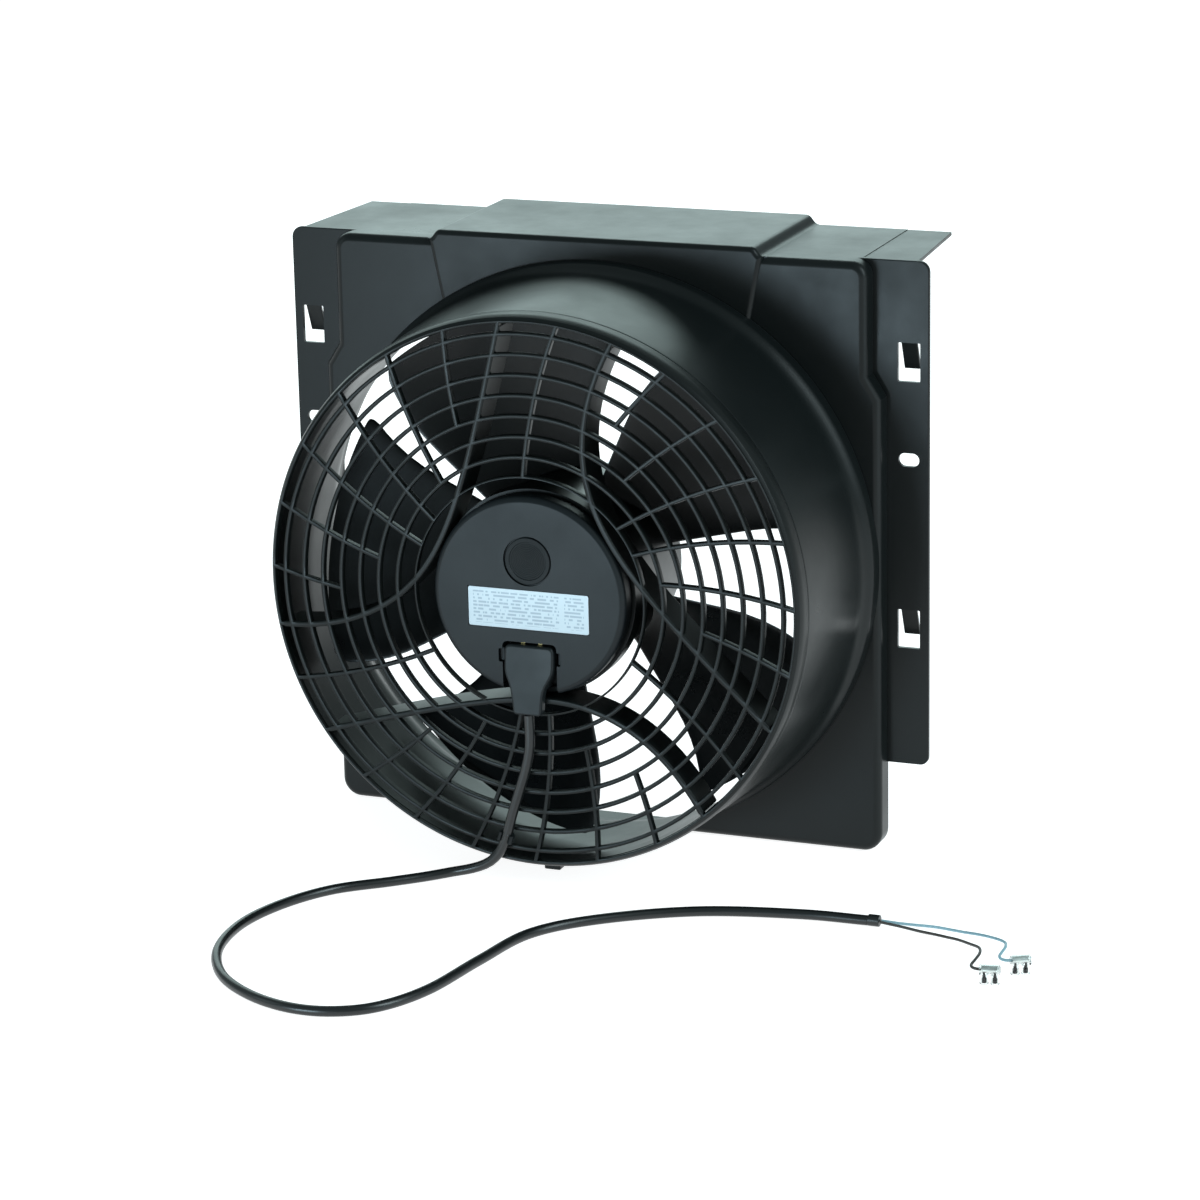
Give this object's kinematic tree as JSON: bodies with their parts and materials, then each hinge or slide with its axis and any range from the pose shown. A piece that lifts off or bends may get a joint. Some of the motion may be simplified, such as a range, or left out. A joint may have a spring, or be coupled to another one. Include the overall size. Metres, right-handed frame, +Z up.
{
  "type": "hydraulic oil cooler fan unit",
  "caption": "Moulded fan cowl with deep round collar, wire-style guard and a guarded axial fan driven by an external-rotor motor, with plug-in lead, for the front of an oil cooler core.",
  "frame": {"origin": "on the standing surface, below the middle of the unit's box without its lead", "axes": "+Z up along the height, +Y from the guard to the open back, +X to the right seen from the guard side"},
  "size_m": [0.4864, 0.4231, 0.3426],
  "materials": {
    "cowl_plastic": "semi-gloss fine moulded texture",
    "guard_plastic": "semi-gloss fine moulded texture",
    "cover_plastic": "satin",
    "vent_plastic": "fine spark-eroded texture",
    "plate_metal": "satin printed foil, blank",
    "seal_rubber": "matt",
    "board_green": "solder mask",
    "can_aluminium": "bright",
    "contact_brass": "bright",
    "choke_copper": "enamelled copper",
    "cast_aluminium": "die cast",
    "screw_steel": "zinc plated",
    "lamination_steel": "stacked sheet",
    "coil_copper": "enamelled copper",
    "bearing_steel": "ground",
    "shaft_steel": "ground",
    "rotor_steel": "deep drawn, coated",
    "magnet_ferrite": "matt",
    "impeller_plastic": "gloss",
    "clip_steel": "spring steel",
    "plug_plastic": "satin",
    "clip_plastic": "satin",
    "cord_black": "satin sheath",
    "core_blue": "satin insulation",
    "core_black": "satin insulation",
    "terminal_nylon": "clear plastic",
    "barrel_brass": "bright",
    "clamp_steel": "zinc plated"
  },
  "bodies": {
    "housing": {"cowl": "cowl_plastic", "guard": "guard_plastic", "motor_cover": "cover_plastic", "vent_disc": "vent_plastic", "rating_plate": "plate_metal", "cover_seal": "seal_rubber", "circuit_board": "board_green", "bus_capacitor_left": "can_aluminium", "bus_capacitor_right": "can_aluminium", "contact_left": "contact_brass", "contact_right": "contact_brass", "line_choke": "choke_copper", "motor_flange": "cast_aluminium", "motor_screw_1": "screw_steel", "motor_screw_2": "screw_steel", "motor_screw_3": "screw_steel", "motor_screw_4": "screw_steel", "stator_core": "lamination_steel", "stator_coil_01": "coil_copper", "stator_coil_02": "coil_copper", "stator_coil_03": "coil_copper", "stator_coil_04": "coil_copper", "stator_coil_05": "coil_copper", "stator_coil_06": "coil_copper", "stator_coil_07": "coil_copper", "stator_coil_08": "coil_copper", "stator_coil_09": "coil_copper", "stator_coil_10": "coil_copper", "stator_coil_11": "coil_copper", "stator_coil_12": "coil_copper", "front_bearing_outer_ring": "bearing_steel", "rear_bearing_outer_ring": "bearing_steel", "preload_washer": "bearing_steel", "plug": "plug_plastic", "cord_clip": "clip_plastic", "power_cord": "cord_black", "sheath_sleeve": "cord_black", "core_blue": "core_blue", "core_black": "core_black", "terminal_body_blue": "terminal_nylon", "terminal_body_black": "terminal_nylon", "barrel_blue": "barrel_brass", "barrel_black": "barrel_brass", "clamp_screw_blue_near": "clamp_steel", "clamp_screw_blue_far": "clamp_steel", "clamp_screw_black_near": "clamp_steel", "clamp_screw_black_far": "clamp_steel"},
    "rotor": {"impeller": "impeller_plastic", "balance_clip": "clip_steel", "rotor_can": "rotor_steel", "magnet_ring": "magnet_ferrite", "shaft": "shaft_steel", "circlip": "shaft_steel", "front_bearing_inner_ring": "bearing_steel", "rear_bearing_inner_ring": "bearing_steel"},
    "front_balls": {"front_bearing_ball_set": "bearing_steel"},
    "rear_balls": {"rear_bearing_ball_set": "bearing_steel"}
  },
  "joints": [
    {"name": "fan_spin", "type": "hinge", "parent": "housing", "child": "rotor", "pos_m": [0, -0.05, 0.1652], "axis": [0, 1, 0], "continuous": true},
    {"name": "front_balls_spin", "type": "hinge", "parent": "housing", "child": "front_balls", "pos_m": [0, -0.0725, 0.1652], "axis": [0, 1, 0], "continuous": true},
    {"name": "rear_balls_spin", "type": "hinge", "parent": "housing", "child": "rear_balls", "pos_m": [0, -0.0299, 0.1652], "axis": [0, 1, 0], "continuous": true}
  ],
  "couplings": [
    {"joint": "front_balls_spin", "follows": "fan_spin", "ratio": 0.4013},
    {"joint": "rear_balls_spin", "follows": "fan_spin", "ratio": 0.4013}
  ]
}
